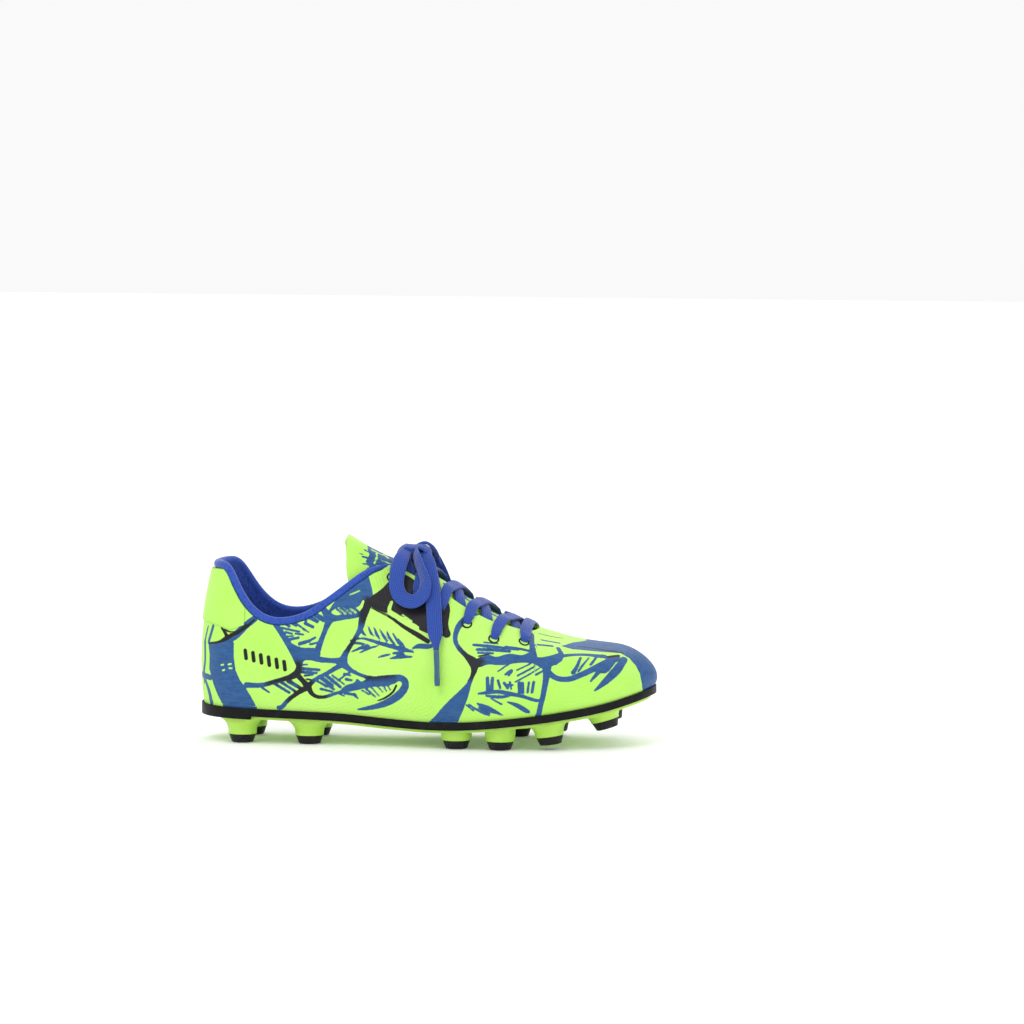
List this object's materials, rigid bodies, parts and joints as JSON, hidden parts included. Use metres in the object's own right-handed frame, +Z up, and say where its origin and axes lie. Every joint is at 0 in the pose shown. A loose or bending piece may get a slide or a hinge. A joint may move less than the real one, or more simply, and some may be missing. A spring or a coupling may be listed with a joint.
{
  "type": "soccer cleat",
  "caption": "Low-cut laced soccer cleat with a printed synthetic upper, padded collar, padded tongue, loose insole and a moulded plate with tipped conical studs.",
  "frame": {"origin": "on the ground, under the middle of the shoe's length and width", "axes": "+X towards the toe, +Y towards the medial (inner) side of this right shoe, +Z up"},
  "size_m": [0.2313, 0.0853, 0.1039],
  "materials": {
    "print_upper": "satin printed synthetic leather, green with blue and black drawing",
    "plain_upper": "satin synthetic leather",
    "stiffener": "raw thermoplastic sheet",
    "board": "pressed fibre",
    "foam": "open-cell foam",
    "lining": "woven",
    "sock": "textile over foam",
    "plate": "satin moulded",
    "black_rubber": "satin moulded",
    "lace": "flat woven",
    "aglet": "glossy film"
  },
  "bodies": {
    "shoe": {"aglet_lateral": "aglet", "aglet_medial": "aglet", "bow_end_lateral": "lace", "bow_end_medial": "lace", "bow_loop_lateral": "lace", "bow_loop_medial": "lace", "collar_foam": "foam", "collar_roll": "lining", "heel_counter": "stiffener", "heel_patch": "plain_upper", "lace_1_front": "lace", "lace_2_lateral": "lace", "lace_2_medial": "lace", "lace_3_lateral": "lace", "lace_3_medial": "lace", "lace_4_lateral": "lace", "lace_4_medial": "lace", "lace_5_lateral": "lace", "lace_5_medial": "lace", "lace_6_lateral": "lace", "lace_6_medial": "lace", "lace_knot": "lace", "lace_tail_lateral": "lace", "lace_tail_medial": "lace", "lasting_board": "board", "outsole_plate": "plate", "quarter_lining": "lining", "rim": "black_rubber", "tip_ball_front_lateral": "black_rubber", "tip_ball_front_medial": "black_rubber", "tip_ball_rear_lateral": "black_rubber", "tip_ball_rear_medial": "black_rubber", "tip_fore_lateral": "black_rubber", "tip_fore_medial": "black_rubber", "tip_heel_front_lateral": "black_rubber", "tip_heel_front_medial": "black_rubber", "tip_heel_rear_lateral": "black_rubber", "tip_heel_rear_medial": "black_rubber", "tip_toe_lateral": "black_rubber", "tip_toe_medial": "black_rubber", "toe_puff": "stiffener", "upper_shell": "print_upper", "vamp_lining": "lining"},
    "tongue": {"tongue_skin": "plain_upper", "tongue_foam": "foam", "tongue_lining": "lining"},
    "insole": {"sockliner": "sock"}
  },
  "joints": [
    {"name": "tongue_fold", "type": "hinge", "parent": "shoe", "child": "tongue", "pos_m": [0.058, 0, 0.0505], "axis": [0, 1, 0], "range_deg": [-12, 0], "stiffness_Nm_per_rad": 0.6, "springref_deg": 1.15},
    {"name": "insole_lift", "type": "hinge", "parent": "shoe", "child": "insole", "pos_m": [0.1075, 0, 0.0325], "axis": [0, 1, 0], "range_deg": [0, 5]}
  ]
}
